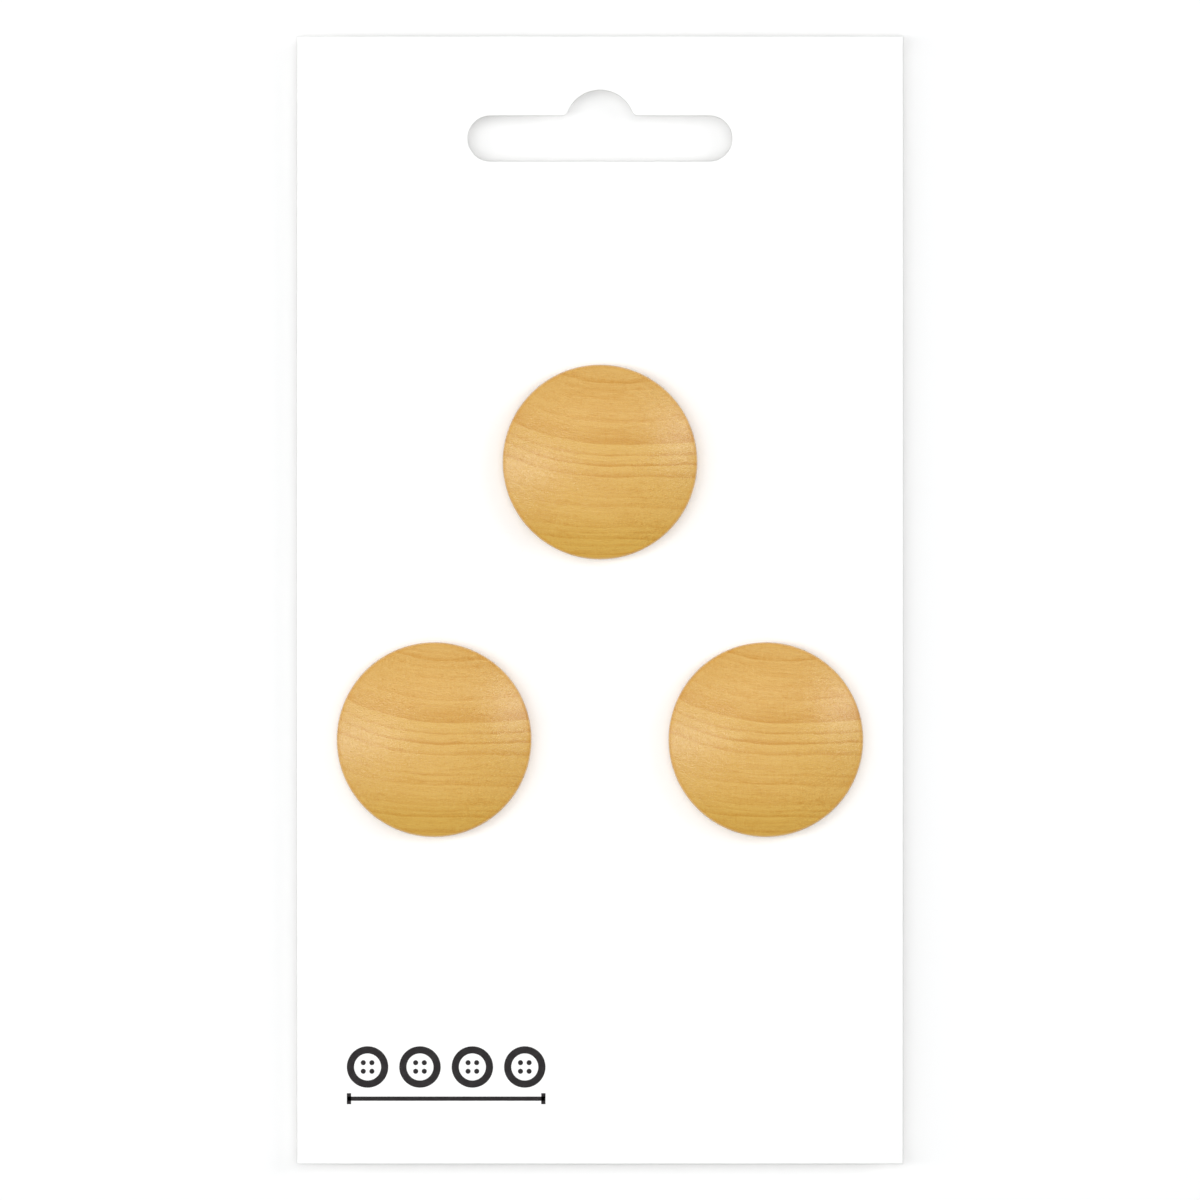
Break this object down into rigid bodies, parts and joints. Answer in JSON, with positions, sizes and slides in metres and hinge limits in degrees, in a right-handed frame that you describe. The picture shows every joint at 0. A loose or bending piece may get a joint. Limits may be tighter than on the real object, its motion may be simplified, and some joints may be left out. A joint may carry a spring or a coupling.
{
  "type": "card of buttons",
  "caption": "Hang card of domed wooden shank buttons, each held by a hooked wire pin through its eye behind the card, with an arched slot for a display peg.",
  "frame": {"origin": "under the middle of the card, on the surface that the three wire eyes stand on", "axes": "+X across the card, +Y up the card towards its hang slot, +Z out of the card's front"},
  "size_m": [0.0716, 0.1334, 0.0083],
  "materials": {
    "card": "matte",
    "wood": "satin",
    "wire": "satin",
    "ink": "matte"
  },
  "bodies": {
    "root": {"backing_card": "card", "button_top": "wood", "eye_top": "wire", "pin_top": "wire", "button_left": "wood", "eye_left": "wire", "pin_left": "wire", "button_right": "wood", "eye_right": "wire", "pin_right": "wire"}
  },
  "joints": []
}
